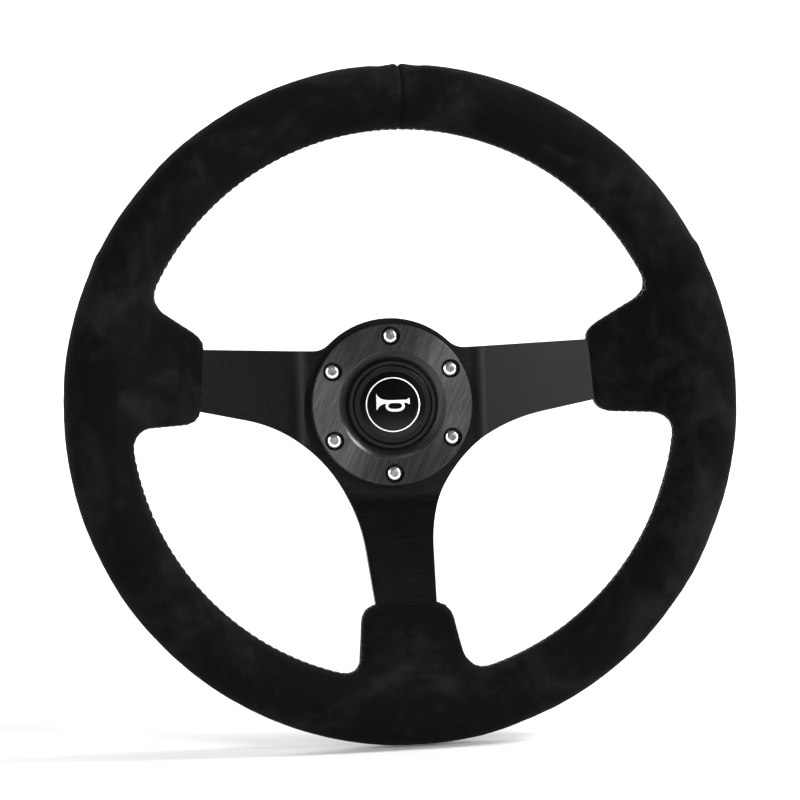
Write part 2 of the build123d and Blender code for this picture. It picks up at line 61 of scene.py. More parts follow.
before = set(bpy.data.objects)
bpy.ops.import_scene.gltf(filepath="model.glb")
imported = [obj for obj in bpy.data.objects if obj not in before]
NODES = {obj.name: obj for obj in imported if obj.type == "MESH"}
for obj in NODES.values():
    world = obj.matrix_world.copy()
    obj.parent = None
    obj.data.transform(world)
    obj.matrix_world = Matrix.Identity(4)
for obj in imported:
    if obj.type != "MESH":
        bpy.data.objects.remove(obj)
CAD_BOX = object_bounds()
MM = 0.001


# ------------------------------------------------------------------ sizes taken from the frame
COVER_LOW, COVER_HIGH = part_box("rim_cover")
DOME_LOW, DOME_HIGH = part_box("emblem_dome")

RIM_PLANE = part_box("rim_core")[1].y         # depth of the grip's centreline
GRIP_RADIUS = RIM_PLANE - COVER_LOW.y
RIM_RADIUS = COVER_HIGH.x - GRIP_RADIUS
RIM_INNER = RIM_RADIUS - GRIP_RADIUS
HALF_PLATE = 2.25 * MM
PLATE_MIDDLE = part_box("spoke_frame")[1].y - HALF_PLATE
SPOKE_FOLD = 49 * MM                        # distance of the hub fold from the axis
SPOKE_SLOPE = tan(radians(29.5))            # how fast a folded spoke rises towards the driver
RING_BEVEL = 29.2 * MM                      # where the horn ring's face turns down into its bevel
LENS_RISE = 0.9 * MM                        # how far the emblem's lens bulges


# ------------------------------------------------------------------ settings
class GripSettings(bpy.types.PropertyGroup):
    """Shape and colours of the suede grip"""
    cell: FloatProperty(name="Mesh cell", description="Spacing of the grip's mesh",
                        default=1.5 * MM, unit="LENGTH")
    blend: FloatProperty(name="Shoe blend", description="Softness of the fillets between shoes and rim",
                         default=13 * MM, unit="LENGTH")
    seam_depth: FloatProperty(name="Seam depth", description="Depth of the radial seam at 12 o'clock",
                              default=1.0 * MM, unit="LENGTH")
    seam_width: FloatProperty(name="Seam width", description="Half width of the radial seam",
                              default=0.7 * MM, unit="LENGTH")
    lace_depth: FloatProperty(name="Lace groove", description="Depth of the groove under the stitching",
                              default=0.7 * MM, unit="LENGTH")
    suede: FloatVectorProperty(name="Suede", description="Colour of the suede",
                               default=(0.0016, 0.0016, 0.0017), subtype="COLOR")
    worn: FloatVectorProperty(name="Brushed-up suede", description="Colour where the nap is turned",
                              default=(0.0085, 0.0085, 0.0087), subtype="COLOR")


class StitchSettings(bpy.types.PropertyGroup):
    """Cross stitching along the grip's inner edge"""
    pitch: FloatProperty(name="Pitch", description="Length of one stitch along the seam",
                         default=4.2 * MM, unit="LENGTH")
    reach: FloatProperty(name="Reach", description="Half the distance that a stitch crosses the seam",
                         default=1.9 * MM, unit="LENGTH")
    thread: FloatProperty(name="Thread", description="Radius of the thread",
                          default=0.36 * MM, unit="LENGTH")
    colour: FloatVectorProperty(name="Thread colour", description="Colour of the waxed thread",
                                default=(0.007, 0.007, 0.0074), subtype="COLOR")


class MetalSettings(bpy.types.PropertyGroup):
    """Finishes of the spokes, ring and screws"""
    anodised: FloatVectorProperty(name="Anodising", description="Colour of the black anodised aluminium",
                                  default=(0.01, 0.01, 0.0103), subtype="COLOR")
    grain: FloatProperty(name="Grain", description="Height of the brushing marks",
                         default=0.01 * MM, unit="LENGTH")
    ring_grain_angle: FloatProperty(name="Ring grain", description="Direction of the ring's brushing",
                                    default=radians(57), subtype="ANGLE")


class MarkSettings(bpy.types.PropertyGroup):
    """Silver horn pictogram on the horn push"""
    size: FloatProperty(name="Size", description="Half the length of the horn",
                        default=9 * MM, unit="LENGTH")
    proud: FloatProperty(name="Height", description="How far the inlay stands out of the lens",
                         default=0.06 * MM, unit="LENGTH")
    circle: FloatProperty(name="Circle", description="Radius of the line round the pictogram",
                          default=14.4 * MM, unit="LENGTH")


class StageSettings(bpy.types.PropertyGroup):
    """Floor, lights and camera"""
    floor: FloatVectorProperty(name="Floor", description="Colour of the floor",
                               default=(0.82, 0.82, 0.82), subtype="COLOR")
    backdrop: FloatProperty(name="Backdrop", description="Brightness of the lit wall behind the wheel",
                            default=1.1)
    ambient: FloatProperty(name="Ambient", description="Brightness of the room that the wheel reflects",
                           default=0.14)
    azimuth: FloatProperty(name="Azimuth", description="Camera direction round the wheel",
                           default=radians(-8.92), subtype="ANGLE")
    elevation: FloatProperty(name="Elevation", description="Camera height above the wheel's axis",
                             default=radians(0.2), subtype="ANGLE")
    roll: FloatProperty(name="Roll", description="Tilt of the camera about its own axis",
                        default=radians(-1.82), subtype="ANGLE")
    distance: FloatProperty(name="Distance", description="Camera to the middle of the rim", default=1.1,
                            unit="LENGTH")
    lens: FloatProperty(name="Lens", description="Focal length on a 36 mm sensor",
                        default=96.2, unit="CAMERA")


# ------------------------------------------------------------------ helpers
def settings(name):
    """This scene's settings of one kind."""
    return getattr(bpy.context.scene, "wheel_" + name)


def new_object(name, verts, faces, smooth=True):
    """Mesh object from vertices and faces."""
    mesh = bpy.data.meshes.new(name)
    mesh.from_pydata([tuple(v) for v in verts], [], [tuple(f) for f in faces])
    mesh.validate()
    if smooth:
        mesh.polygons.foreach_set("use_smooth", [True] * len(mesh.polygons))
    mesh.update()
    obj = bpy.data.objects.new(name, mesh)
    bpy.context.scene.collection.objects.link(obj)
    return obj


def add_attribute(obj, name, values):
    """A number for each vertex, for a material to read."""
    layer = obj.data.attributes.new(name, "FLOAT", "POINT")
    layer.data.foreach_set("value", np.asarray(values, np.float32))


def dress(obj, material):
    """Give an object one material."""
    obj.data.materials.clear()
    obj.data.materials.append(material)


def dress_node(node, material):
    """Give a CAD node's slots a material, leaving its mesh alone."""
    slots = NODES[node].material_slots
    for each in slots:
        each.material = material
    if not slots:
        NODES[node].data.materials.append(material)


class Nodes:
    """Short way to build a material's node tree."""

    def __init__(self, name):
        self.material = bpy.data.materials.new(name)
        self.material.use_nodes = True
        self.tree = self.material.node_tree
        self.shader = self.tree.nodes["Principled BSDF"]
        self.place = self.add("ShaderNodeTexCoord").outputs["Object"]

    def add(self, kind, links=None, **values):
        """A node with properties or input values set, and its inputs linked."""
        node = self.tree.nodes.new(kind)
        for key, value in values.items():
            socket = key.replace("_", " ").title()
            if hasattr(node, key):
                setattr(node, key, value)
            else:
                node.inputs[socket].default_value = value
        for key, output in (links or {}).items():
            self.tree.links.new(output, node.inputs[key])
        return node

    def noise(self, scale, detail=3.0, roughness=0.5, place=None, distortion=0.0):
        """Fractal noise of about 1/scale metres."""
        node = self.add("ShaderNodeTexNoise", {"Vector": place or self.place}, scale=scale, detail=detail,
                        roughness=roughness, distortion=distortion)
        return node.outputs["Fac"]

    def attribute(self, name):
        """A per-vertex number of the mesh."""
        return self.add("ShaderNodeAttribute", attribute_name=name).outputs["Fac"]

    def stretch(self, scale, rotation=(0, 0, 0)):
        """Object place turned and then scaled, for grain."""
        turned = self.add("ShaderNodeMapping", {"Vector": self.place}, rotation=rotation).outputs[0]
        return self.add("ShaderNodeMapping", {"Vector": turned}, scale=scale).outputs[0]

    def from_axis(self):
        """Distance from the wheel's axis, and the split place it comes from."""
        split = self.add("ShaderNodeSeparateXYZ", {"Vector": self.place}).outputs
        squares = [self.math("POWER", split[axis], 2.0) for axis in "XZ"]
        return self.math("SQRT", self.math("ADD", *squares), 0.0), split

    def ramp(self, value, low, high, start, end):
        """Map a number smoothly from one range to another."""
        node = self.add("ShaderNodeMapRange", {"Value": value}, interpolation_type="SMOOTHSTEP")
        for key, number in zip(("From Min", "From Max", "To Min", "To Max"), (low, high, start, end)):
            node.inputs[key].default_value = number
        return node.outputs[0]

    def math(self, operation, a, b):
        """One arithmetic step on links or numbers."""
        node = self.add("ShaderNodeMath", operation=operation)
        for socket, value in zip(node.inputs, (a, b)):
            if isinstance(value, (int, float)):
                socket.default_value = value
            else:
                self.tree.links.new(value, socket)
        return node.outputs[0]

    def mix(self, factor, a, b):
        """Blend two colours, given as links or as RGB."""
        node = self.add("ShaderNodeMix", {"Factor": factor}, data_type="RGBA")
        for socket, value in zip((node.inputs[6], node.inputs[7]), (a, b)):
            if isinstance(value, bpy.types.NodeSocket):
                self.tree.links.new(value, socket)
            else:
                socket.default_value = (*value, 1)
        return node.outputs[2]

    def bump(self, height, distance, strength=1.0, under=None):
        """Surface relief; `distance` is the height in metres that 1 stands for."""
        links = {"Height": height}
        if under:
            links["Normal"] = under
        return self.add("ShaderNodeBump", links, distance=distance, strength=strength).outputs[0]

    def finish(self, links=None, **values):
        """Set the shader's own sockets and link the ones that vary."""
        for key, value in values.items():
            name = key.replace("_", " ").title().replace("Ior", "IOR")
            self.shader.inputs[name].default_value = value
        for key, output in (links or {}).items():
            self.tree.links.new(output, self.shader.inputs[key])
        return self.material


# ------------------------------------------------------------------ materials
def suede_material():
    """Napped suede: mottled, soft sheen, fine grain."""
    s = settings("grip")
    n = Nodes("suede")
    patches = n.noise(24, 3, 0.6, distortion=0.6)
    strokes = n.noise(120, 4, 0.6)
    fibres = n.noise(2300, 2, 0.7)
    nap = n.math("ADD", n.math("MULTIPLY", patches, 0.7), n.math("MULTIPLY", strokes, 0.3))
    worn = n.math("MULTIPLY", n.ramp(nap, 0.46, 0.7, 0.0, 1.0), n.ramp(fibres, 0.3, 0.7, 0.55, 1.0))
    base = n.mix(worn, tuple(s.suede), tuple(s.worn))
    # Painted shade: the suede goes darker and loses its brushed-up patches in the seam and lace grooves.
    base = n.mix(n.ramp(n.attribute("groove_shade"), 0.0, 1.0, 0.0, 0.85), base, (0.0015, 0.0015, 0.0015))
    relief = n.bump(strokes, 0.3 * MM, 0.4, n.bump(fibres, 0.15 * MM, 0.6))
    return n.finish({"Base Color": base, "Normal": relief}, roughness=0.95, specular_ior_level=0.06,
                    sheen_weight=0.009, sheen_roughness=0.4, sheen_tint=(0.9, 0.92, 1.0, 1))


def thread_material():
    """Waxed thread, twisted."""
    n = Nodes("waxed_thread")
    twist = n.noise(2600, 1, 0.5)
    colour = n.mix(twist, tuple(settings("stitch").colour), (0.035, 0.035, 0.037))
    return n.finish({"Base Color": colour, "Normal": n.bump(twist, 0.08 * MM, 0.6)}, roughness=0.42,
                    sheen_weight=0.04)


def brushed_material(name, angle, colour, roughness, spread, depth, across=None, bevel=None):
    """Black anodised aluminium with straight brushing marks at an angle in the wheel's plane.

    `depth` is how much the marks vary in tone. The gloss spreads `across` the marks, or away from
    the wheel's axis where none is given. Inside the radius `bevel` the metal is turned smooth."""
    s = settings("metal")
    n = Nodes(name)
    grain = n.stretch((150, 5200, 5200), (0, angle, 0))
    fine = n.noise(1.0, 3, 0.7, grain)
    scratches = n.noise(0.33, 2, 0.5, n.stretch((170, 2800, 2800), (0, angle + radians(8), 0)))
    marks = n.math("ADD", n.math("MULTIPLY", fine, 0.6), n.math("MULTIPLY", scratches, 0.4))
    handling = n.noise(35, 3, 0.5)
    base = n.mix(n.ramp(marks, 0.38, 0.66, 0.0, 1.0), tuple(c * (1 - depth) for c in colour),
                 tuple(c * (1 + 1.6 * depth) for c in colour))
    rough = n.math("ADD", n.ramp(marks, 0.35, 0.65, roughness - 0.05, roughness + 0.07),
                   n.math("MULTIPLY", handling, 0.06))
    relief = n.bump(marks, s.grain, 0.5)
    if bevel:
        face = n.ramp(n.from_axis()[0], bevel - 0.15 * MM, bevel + 0.15 * MM, 0.0, 1.0)
        base = n.mix(face, tuple(1.5 * c for c in colour), base)
        rough = n.math("ADD", n.math("MULTIPLY", rough, face), n.ramp(face, 0.0, 1.0, 0.33, 0.0))
        relief = n.bump(n.math("MULTIPLY", marks, face), s.grain, 0.5)
    if across:
        tangent = n.add("ShaderNodeCombineXYZ", x=across[0], y=across[1], z=across[2]).outputs[0]
    else:
        tangent = n.add("ShaderNodeVectorMath", {0: n.place}, operation="MULTIPLY")
        tangent.inputs[1].default_value = (1, 0, 1)
        tangent = tangent.outputs[0]
    links = {"Base Color": base, "Roughness": rough, "Normal": relief, "Tangent": tangent}
    if bevel:
        links["Anisotropic"] = n.math("MULTIPLY", face, spread)
    return n.finish(links, metallic=0.95, anisotropic=spread, specular_ior_level=0.3)


def turned_material(name, colour, roughness, metallic=1.0):
    """Lathe-turned metal: fine rings about the wheel's axis."""
    n = Nodes(name)
    radius, split = n.from_axis()
    rings = n.add("ShaderNodeCombineXYZ", {"X": n.math("MULTIPLY", radius, 2400.0),
                                           "Y": n.math("MULTIPLY", split["Y"], 2400.0)}).outputs[0]
    lathe = n.noise(1.0, 2, 0.6, rings)
    smudge = n.noise(60, 3, 0.5)
    base = n.mix(n.ramp(smudge, 0.3, 0.7, 0.0, 1.0), tuple(c * 0.85 for c in colour),
                 tuple(min(1, c * 1.12) for c in colour))
    rough = n.math("ADD", n.ramp(lathe, 0.3, 0.7, roughness - 0.05, roughness + 0.07),
                   n.math("MULTIPLY", smudge, 0.06))
    return n.finish({"Base Color": base, "Roughness": rough, "Normal": n.bump(lathe, 0.02 * MM, 0.4)},
                    metallic=metallic)


def polished_material(name, colour, roughness=0.12):
    """Polished metal with faint handling marks."""
    n = Nodes(name)
    smudge = n.noise(240, 4, 0.6)
    scratches = n.noise(3000, 1, 0.5)
    rough = n.ramp(smudge, 0.3, 0.75, roughness - 0.03, roughness + 0.08)
    return n.finish({"Roughness": rough, "Normal": n.bump(scratches, 0.01 * MM, 0.15)},
                    base_color=(*colour, 1), metallic=1.0)


def moulded_material(name, colour, roughness, grain=0.05 * MM):
    """Moulded plastic with a fine spark-eroded grain."""
    n = Nodes(name)
    texture = n.noise(2200, 2, 0.6)
    smudge = n.noise(90, 3, 0.5)
    rough = n.math("ADD", n.ramp(texture, 0.3, 0.7, roughness - 0.04, roughness + 0.05),
                   n.math("MULTIPLY", smudge, 0.05))
    base = n.mix(smudge, tuple(c * 0.85 for c in colour), tuple(c * 1.15 for c in colour))
    return n.finish({"Base Color": base, "Roughness": rough, "Normal": n.bump(texture, grain, 0.35)},
                    specular_ior_level=0.22)


# ------------------------------------------------------------------ grip: shape as a distance
def smooth_min(a, b, k):
    """Union of two distances with a fillet of about k."""
    h = np.clip(0.5 + 0.5 * (b - a) / k, 0, 1)
    return b * (1 - h) + a * h - k * h * (1 - h)


def smooth_max(a, b, k):
    """Intersection of two distances with a rounded corner of about k."""
    return -smooth_min(-a, -b, k)


def shoe_outline(along, across, lines, corner):
    """Distance to a shoe's front-view outline, the inside of straight lines.

    Each line is (distance along the spoke, place across it, direction of its outward normal in degrees)."""
    whole = None
    for at, beside, normal in lines:
        turn = radians(normal)
        side = (along - at) * cos(turn) + (across - beside) * sin(turn)
        whole = side if whole is None else smooth_max(whole, side, corner)
    return whole


# side shoe: end, upper corner, shoulder, lower corner, foot, root
ARM_LINES = (
    (103.6 * MM, 17 * MM, 185), (102.8 * MM, 36.6 * MM, 150), (112.5 * MM, 43.6 * MM, 122.5),
    (107.2 * MM, -4.4 * MM, 228), (118 * MM, -6.9 * MM, 267), (RIM_INNER + 7 * MM, 0, 0))
# lower shoe, one half: end, corner, side, root
LEG_LINES = (
    (104.8 * MM, 0, 180), (107.6 * MM, 21.8 * MM, 140), (118 * MM, 24.9 * MM, 98),
    (RIM_INNER + 7 * MM, 0, 0))
SHOE_TIP_HALF = 7.0 * MM
SHOE_ROOT_HALF = 12.0 * MM
SHOE_EDGE = 5.0 * MM
SHOE_CORNER = 3.0 * MM


def spoke_depth(along):
    """Depth of a spoke's middle, up to the rim's plane."""
    return np.maximum(PLATE_MIDDLE - (along - SPOKE_FOLD) * SPOKE_SLOPE, RIM_PLANE)


def shoe_distance(along, across, depth, lines):
    """Distance to one padded shoe."""
    end = lines[0][0]
    share = np.clip((along - end) / (RIM_INNER - end), 0, 1.2)
    half = SHOE_TIP_HALF + share * (SHOE_ROOT_HALF - SHOE_TIP_HALF)
    thick = (np.abs(depth - spoke_depth(along)) - half) * cos(radians(20)) + SHOE_EDGE
    flat = shoe_outline(along, across, lines, SHOE_CORNER) + SHOE_EDGE
    outside = np.hypot(np.maximum(thick, 0), np.maximum(flat, 0))
    return outside + np.minimum(np.maximum(thick, flat), 0) - SHOE_EDGE


def grip_distance(x, y, z):
    """Distance to the grip without its seams."""
    radius = np.hypot(x, z)
    hoop = np.hypot(radius - RIM_RADIUS, y - RIM_PLANE) - GRIP_RADIUS
    k = settings("grip").blend
    shoes = np.minimum(shoe_distance(np.abs(x), z, y, ARM_LINES),
                       shoe_distance(-z, np.abs(x), y, LEG_LINES))
    return smooth_min(hoop, shoes, k)


def gradient(x, y, z, step=0.05 * MM):
    """Unit outward direction of the grip's surface."""
    slope = [grip_distance(x + dx, y + dy, z + dz) - grip_distance(x - dx, y - dy, z - dz)
             for dx, dy, dz in np.eye(3) * step]
    slope = np.stack(slope, -1)
    return slope / np.maximum(np.linalg.norm(slope, axis=-1, keepdims=True), 1e-9)


def onto_surface(points, rounds=4):
    """Move points onto the grip's surface."""
    for _ in range(rounds):
        x, y, z = points.T
        points = points - grip_distance(x, y, z)[:, None] * gradient(x, y, z)
    return points


def lace_depth_at(x, z):
    """Depth of the laced seam, which follows the spokes' middle along the shoes."""
    radius = np.hypot(x, z)
    along = np.where((z < 0) & (-z > np.abs(x)), -z, np.abs(x))
    share = np.clip((RIM_INNER - radius) / (9 * MM), 0, 1)
    share = share * share * (3 - 2 * share)
    return RIM_PLANE + (spoke_depth(along) - RIM_PLANE) * share


def grid_lines(low, high, cell, fine_half, fine_cell):
    """Grid positions, closer together about zero."""
    side = np.arange(fine_half, max(high, -low) + cell, cell)
    middle = np.arange(-fine_half, fine_half, fine_cell)
    return np.concatenate([-side[::-1], middle[1:], side])


def surface_mesh(xs, ys, zs):
    """Quads round the zero of grip_distance on a grid of cells."""
    x, y, z = np.meshgrid(xs, ys, zs, indexing="ij")
    inside = grip_distance(x, y, z) < 0
    corners = sum(inside[i:i + len(xs) - 1, j:j + len(ys) - 1, k:k + len(zs) - 1].astype(int)
                  for i in (0, 1) for j in (0, 1) for k in (0, 1))
    crossed = (corners > 0) & (corners < 8)
    index = np.full(crossed.shape, -1)
    index[crossed] = np.arange(crossed.sum())
    cells = np.argwhere(crossed)
    middles = [(line[:-1] + line[1:]) / 2 for line in (xs, ys, zs)]
    verts = np.stack([middles[a][cells[:, a]] for a in range(3)], -1)
    faces = []
    for axis in range(3):
        first, second = [a for a in range(3) if a != axis]
        ahead = np.roll(inside, -1, axis)
        change = np.argwhere(inside != ahead)
        keep = np.all([(change[:, a] > 0) & (change[:, a] < inside.shape[a] - 1) for a in range(3)], axis=0)
        change = change[keep]
        starts_inside = inside[tuple(change.T)]
        ring = []
        for da, db in ((0, 0), (1, 0), (1, 1), (0, 1)):
            cell = change.copy()
            cell[:, first] -= da
            cell[:, second] -= db
            ring.append(index[tuple(cell.T)])
        quads = np.stack(ring, -1)
        flip = starts_inside ^ (axis == 1)
        quads[flip] = quads[flip][:, ::-1]
        faces.append(quads)
    return verts, np.concatenate(faces)


def relaxed(verts, faces, rounds=6):
    """Even out the spacing of vertices along the surface."""
    edges = np.concatenate([faces[:, [0, 1]], faces[:, [1, 2]], faces[:, [2, 3]], faces[:, [3, 0]]])
    edges = np.unique(np.sort(edges, axis=1), axis=0)
    count = np.bincount(edges.ravel(), minlength=len(verts))[:, None]
    for _ in range(rounds):
        total = np.zeros_like(verts)
        for a, b in ((0, 1), (1, 0)):
            for axis in range(3):
                total[:, axis] += np.bincount(edges[:, a], verts[edges[:, b], axis], minlength=len(verts))
        verts = onto_surface(verts + 0.5 * (total / count - verts), 1)
    return onto_surface(verts, 3)


def lace_path(step=0.7 * MM):
    """Closed path of the laced seam along the grip's inner edge, walked from 12 o'clock."""
    def level(p):
        return float(grip_distance(p[0], lace_depth_at(p[0], p[1]), p[1]))

    def slope(p):
        reach = 0.05 * MM
        g = np.array([level(p + (reach, 0)) - level(p - (reach, 0)),
                      level(p + (0, reach)) - level(p - (0, reach))])
        return g / max(np.linalg.norm(g), 1e-12)

    place = np.array([0.0, RIM_INNER])
    path = []
    for _ in range(int(2.4 * pi * RIM_RADIUS / step)):
        out = slope(place)
        path.append(place)
        place = place + step * np.array([-out[1], out[0]])
        for _ in range(2):
            place = place - level(place) * slope(place)
        if len(path) > 50 and np.linalg.norm(place - path[0]) < step:
            break
    flat = np.array(path)
    return np.stack([flat[:, 0], lace_depth_at(flat[:, 0], flat[:, 1]), flat[:, 1]], -1)


def soft_noise(points, size, seed):
    """Smooth irregularity of about one, from a few fixed waves."""
    rng = np.random.default_rng(seed)
    total = np.zeros(len(points))
    for _ in range(7):
        direction = rng.normal(size=3)
        direction /= np.linalg.norm(direction)
        wave = points @ direction * (2 * pi / size) * rng.uniform(0.6, 1.5)
        total += np.sin(wave + rng.uniform(0, 2 * pi))
    return total / 3


LIP_AT, LIP_WIDTH = 2.6 * MM, 1.4 * MM       # raised lips beside the radial seam
HOLLOW_AT, HOLLOW_WIDTH = 10 * MM, 3.5 * MM  # hollows that the seam's pull leaves further out
ROLL_AT, ROLL_WIDTH = 2.4 * MM, 1.3 * MM     # rolls beside the laced groove
GROOVE_WIDTH = 1.0 * MM
INNER_SHARE = 0.55                           # of the grip's radius, past which the lacing can lie


def pressed(distance, width):
    """Soft bell of a seam, 1 on its line."""
    return np.exp(-(distance / width) ** 2)


def sewn(verts):
    """Press the seams into the suede, and say how deep in a seam groove each vertex lies, for the suede's
    painted shade.
    """
    s = settings("grip")
    normals = gradient(*verts.T)
    x, y, z = verts.T
    top = z > 0
    across = np.abs(x)
    seam = np.where(top, pressed(x, s.seam_width), 0)
    lips = np.where(top, pressed(across - LIP_AT, LIP_WIDTH), 0)
    hollows = np.where(top, pressed(across - HOLLOW_AT, HOLLOW_WIDTH), 0)
    radius = np.hypot(x, z)
    inner = np.clip((RIM_RADIUS - radius) / GRIP_RADIUS, 0, 1)
    side = y - lace_depth_at(x, z)
    lace = pressed(side, GROOVE_WIDTH) * (inner > INNER_SHARE)
    roll = pressed(np.abs(side) - ROLL_AT, ROLL_WIDTH) * (inner > INNER_SHARE)
    push = -s.seam_depth * seam + 0.35 * MM * lips - 0.45 * MM * hollows
    push += -s.lace_depth * lace + 0.25 * MM * roll
    push += 0.22 * MM * soft_noise(verts, 42 * MM, 4) + 0.05 * MM * soft_noise(verts, 11 * MM, 9)
    return verts + push[:, None] * normals, np.clip(seam + 0.8 * lace, 0, 1)


class WHEEL_OT_grip(bpy.types.Operator):
    """Suede grip with its three shoes, radial seam and laced edge"""
    bl_idname = "wheel.grip"
    bl_label = "Grip"

    def execute(self, context):
        cell = settings("grip").cell * 1.0
        margin = 4 * cell
        xs = grid_lines(-COVER_HIGH.x - margin, COVER_HIGH.x + margin, cell, 5 * MM, 0.4 * cell)
        ys = np.arange(COVER_LOW.y - margin, COVER_HIGH.y + 12 * MM, cell)
        zs = np.arange(-COVER_HIGH.x - margin, COVER_HIGH.x + margin, cell)
        verts, faces = surface_mesh(xs, ys, zs)
        verts = relaxed(onto_surface(verts, 3), faces)
        verts, groove_shade = sewn(verts)
        grip = new_object("suede_grip", verts, faces)
        # The groove depth is kept for painting shade into the suede's grooves.
        add_attribute(grip, "groove_shade", groove_shade)
        dress(grip, suede_material())
        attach(grip, "wheel")
        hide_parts("rim_cover", "rim_padding")
        return {"FINISHED"}


# ------------------------------------------------------------------ stitching
def tube(points, normals, radius, sides=6):
    """Vertices and faces of a closed round tube along points, tapering at both ends."""
    verts, faces = [], []
    count = len(points)
    for i, (p, up) in enumerate(zip(points, normals)):
        ahead = points[min(i + 1, count - 1)] - points[max(i - 1, 0)]
        ahead = ahead / np.linalg.norm(ahead)
        side = np.cross(ahead, up)
        side = side / np.linalg.norm(side)
        up = np.cross(side, ahead)
        thick = radius * (0.45 if i in (0, count - 1) else 1.0)
        for k in range(sides):
            turn = 2 * pi * k / sides
            verts.append(p + thick * (cos(turn) * side + sin(turn) * up))
    for i in range(count - 1):
        for k in range(sides):
            a, b = i * sides + k, i * sides + (k + 1) % sides
            faces.append((a, b, b + sides, a + sides))
    faces.append(tuple(range(sides))[::-1])
    faces.append(tuple((count - 1) * sides + k for k in range(sides)))
    return verts, faces


class WHEEL_OT_stitching(bpy.types.Operator):
    """Cross stitches that lace the suede along the grip's inner edge"""
    bl_idname = "wheel.stitching"
    bl_label = "Stitching"

    def execute(self, context):
        s = settings("stitch")
        path = lace_path()
        steps = np.linalg.norm(np.roll(path, -1, 0) - path, axis=1)
        length = np.concatenate([[0], np.cumsum(steps)])
        closed = np.vstack([path, path[:1]])
        count = int(length[-1] / s.pitch)
        pitch = length[-1] / count
        rng = np.random.default_rng(7)

        def at(distance):
            distance = np.mod(distance, length[-1])
            return np.stack([np.interp(distance, length, closed[:, a]) for a in range(3)], -1)

        verts, faces = [], []
        shares = np.array([-0.06, 0.08, 0.35, 0.65, 0.92, 1.06])
        for i in range(count):
            for slant in (1, -1):
                start = i * pitch + rng.normal(0, 0.12 * MM)
                middle = at(start + shares * pitch * 0.92)
                tangent = at(start + shares * pitch + 0.4 * MM) - at(start + shares * pitch - 0.4 * MM)
                normal = gradient(*middle.T)
                sideways = np.cross(normal, tangent)
                sideways /= np.linalg.norm(sideways, axis=1, keepdims=True)
                reach = s.reach * (1 + rng.normal(0, 0.05))
                points = middle + sideways * (reach * slant * (1 - 2 * shares))[:, None]
                points = onto_surface(points, 3)
                normal = gradient(*points.T)
                lift = s.thread * (0.9 if slant > 0 else 0.35) * np.sin(np.clip(shares, 0, 1) * pi)
                lift -= s.thread * 1.1 * ((shares < 0) | (shares > 1))
                points = points + normal * lift[:, None]
                more, quads = tube(points, normal, s.thread)
                faces += [tuple(len(verts) + k for k in f) for f in quads]
                verts += more
        thread = new_object("lace_stitching", verts, faces)
        dress(thread, thread_material())
        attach(thread, "wheel")
        return {"FINISHED"}


# ------------------------------------------------------------------ metal parts
class WHEEL_OT_spokes(bpy.types.Operator):
    """Brushed and anodised finish of the spoke frame"""
    bl_idname = "wheel.spokes"
    bl_label = "Spokes"

    def execute(self, context):
        colour = tuple(settings("metal").anodised)
        dress_node("spoke_frame", brushed_material("brushed_spokes", 0.0, colour, 0.38, 0.3, 0.16,
                                                   across=(0, 0, 1)))
        core = turned_material("bare_core", (0.55, 0.55, 0.57), 0.35)
        for node in ("rim_core", "core_rivets"):
            dress_node(node, core)
        return {"FINISHED"}


class WHEEL_OT_ring(bpy.types.Operator):
    """Horn ring and its screws"""
    bl_idname = "wheel.ring"
    bl_label = "Horn ring and screws"

    def execute(self, context):
        s = settings("metal")
        colour = tuple(5.2 * c for c in s.anodised)
        brushed = brushed_material("brushed_ring", s.ring_grain_angle, colour, 0.45, 0.92, 0.34,
                                   bevel=RING_BEVEL)
        dress_node("horn_ring", brushed)
        dress_node("ring_screws", polished_material("polished_screws", (0.78, 0.78, 0.8), 0.16))
        return {"FINISHED"}


class WHEEL_OT_push(bpy.types.Operator):
    """Horn push: housing, cap, emblem and contacts"""
    bl_idname = "wheel.push"
    bl_label = "Horn push"

    def execute(self, context):
        dress_node("horn_housing", moulded_material("housing_plastic", (0.0016, 0.0016, 0.0017), 0.36))
        dress_node("horn_cap", moulded_material("cap_plastic", (0.0014, 0.0014, 0.0015), 0.3))
        lens = moulded_material("lens_plastic", (0.0008, 0.0008, 0.0009), 0.12, grain=0.003 * MM)
        dress_node("emblem_dome", lens)
        insulator = moulded_material("acetal", (0.5, 0.46, 0.38), 0.45)
        for node in ("horn_base", "pin_insulator"):
            dress_node(node, insulator)
        brass = polished_material("bare_brass", (0.72, 0.52, 0.24), 0.26)
        for node in ("live_contact", "earth_contact", "contact_pin", "pin_terminal"):
            dress_node(node, brass)
        dress_node("horn_contact_plate", polished_material("spring_plate", (0.5, 0.5, 0.52), 0.22))
        return {"FINISHED"}


def horn_strips(size):
    """Centrelines and half widths of the pictogram: bell and tube, mouthpiece, and the tube's loop."""
    along = np.linspace(-1, 0.86, 30)
    flare = 0.085 + 0.42 * np.exp(-(along + 1) / 0.2)
    horn = (np.stack([along, np.full_like(along, 0.18)], -1) * size, flare * size)
    mouth = (np.array([(0.86, 0.18), (0.93, 0.18), (1.0, 0.18)]) * size,
             np.array([0.1, 0.17, 0.17]) * size)
    turn = np.linspace(0, 2 * pi, 49)
    loop = np.stack([0.12 + 0.5 * np.sign(np.cos(turn)) * np.abs(np.cos(turn)) ** 0.7,
                     -0.08 + 0.26 * np.sin(turn)], -1)
    return horn, mouth, (loop * size, np.full(49, 0.075 * size))


LINE_HALF = 0.3 * MM                         # half the width of the line round the pictogram


